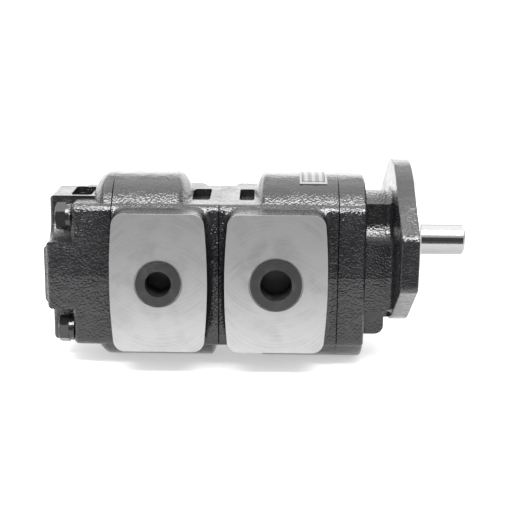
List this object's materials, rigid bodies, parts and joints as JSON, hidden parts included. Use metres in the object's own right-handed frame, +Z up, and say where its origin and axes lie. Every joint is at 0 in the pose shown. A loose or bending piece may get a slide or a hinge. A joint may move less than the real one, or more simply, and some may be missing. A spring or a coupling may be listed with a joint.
{
  "type": "tandem hydraulic gear pump",
  "caption": "Flange-mounted tandem external gear pump with a keyed shaft, two meshing gear sets, side ports with push-in plugs and a bolted rear cover.",
  "frame": {"origin": "the drive shaft's axis at the mounting flange's front face, where the pilot starts", "axes": "+X along the shaft out of the flange, +Z up from the driven gears' axis to the shaft's axis, -Y towards the outlet ports"},
  "size_m": [0.333, 0.174, 0.162],
  "materials": {
    "painted_casting": "gloss black paint over rough cast iron, with machined port pads and flange faces",
    "ground_steel": "ground and polished",
    "gear_steel": "hardened and ground, oiled",
    "spring_steel": "dark phosphated",
    "block_aluminium": "machined",
    "bearing_bronze": "satin",
    "black_rubber": "matte",
    "black_bolt": "black oxide under gloss paint",
    "plug_plastic": "matte moulded polyethylene",
    "plate_aluminium": "printed foil, blank"
  },
  "bodies": {
    "housing": {"dowel_pins": "gear_steel", "front_cover": "painted_casting", "front_pump_body": "painted_casting", "front_seam_seal": "black_rubber", "front_set_front_balance_seal": "black_rubber", "front_set_front_bearing_block": "block_aluminium", "front_set_front_bushes": "bearing_bronze", "front_set_rear_balance_seal": "black_rubber", "front_set_rear_bearing_block": "block_aluminium", "front_set_rear_bushes": "bearing_bronze", "middle_seam_seal": "black_rubber", "rating_plate": "plate_aluminium", "rear_cover": "painted_casting", "rear_pump_body": "painted_casting", "rear_seam_seal": "black_rubber", "rear_set_front_balance_seal": "black_rubber", "rear_set_front_bearing_block": "block_aluminium", "rear_set_front_bushes": "bearing_bronze", "rear_set_rear_balance_seal": "black_rubber", "rear_set_rear_bearing_block": "block_aluminium", "rear_set_rear_bushes": "bearing_bronze", "seal_retaining_ring": "spring_steel", "shaft_lip_seal": "black_rubber", "tie_bolt_lock_washers": "black_bolt", "tie_bolts": "black_bolt"},
    "drive_line": {"drive_shaft": "ground_steel", "shaft_coupling": "gear_steel", "rear_drive_gear": "gear_steel"},
    "front_driven": {"front_driven_gear": "gear_steel"},
    "rear_driven": {"rear_driven_gear": "gear_steel"},
    "rear_plug": {"rear_outlet_plug": "plug_plastic"},
    "front_plug": {"front_outlet_plug": "plug_plastic"}
  },
  "joints": [
    {"name": "shaft_spin", "type": "hinge", "parent": "housing", "child": "drive_line", "pos_m": [0, 0, 0], "axis": [1, 0, 0], "continuous": true},
    {"name": "front_driven_spin", "type": "hinge", "parent": "housing", "child": "front_driven", "pos_m": [0, 0, -0.044], "axis": [1, 0, 0], "continuous": true},
    {"name": "rear_driven_spin", "type": "hinge", "parent": "housing", "child": "rear_driven", "pos_m": [0, 0, -0.044], "axis": [1, 0, 0], "continuous": true},
    {"name": "rear_plug_pull", "type": "slide", "parent": "housing", "child": "rear_plug", "axis": [0, -1, 0], "range_m": [0, 0.06]},
    {"name": "front_plug_pull", "type": "slide", "parent": "housing", "child": "front_plug", "axis": [0, -1, 0], "range_m": [0, 0.06]}
  ],
  "couplings": [
    {"joint": "front_driven_spin", "follows": "shaft_spin", "ratio": -1},
    {"joint": "rear_driven_spin", "follows": "shaft_spin", "ratio": -1}
  ]
}
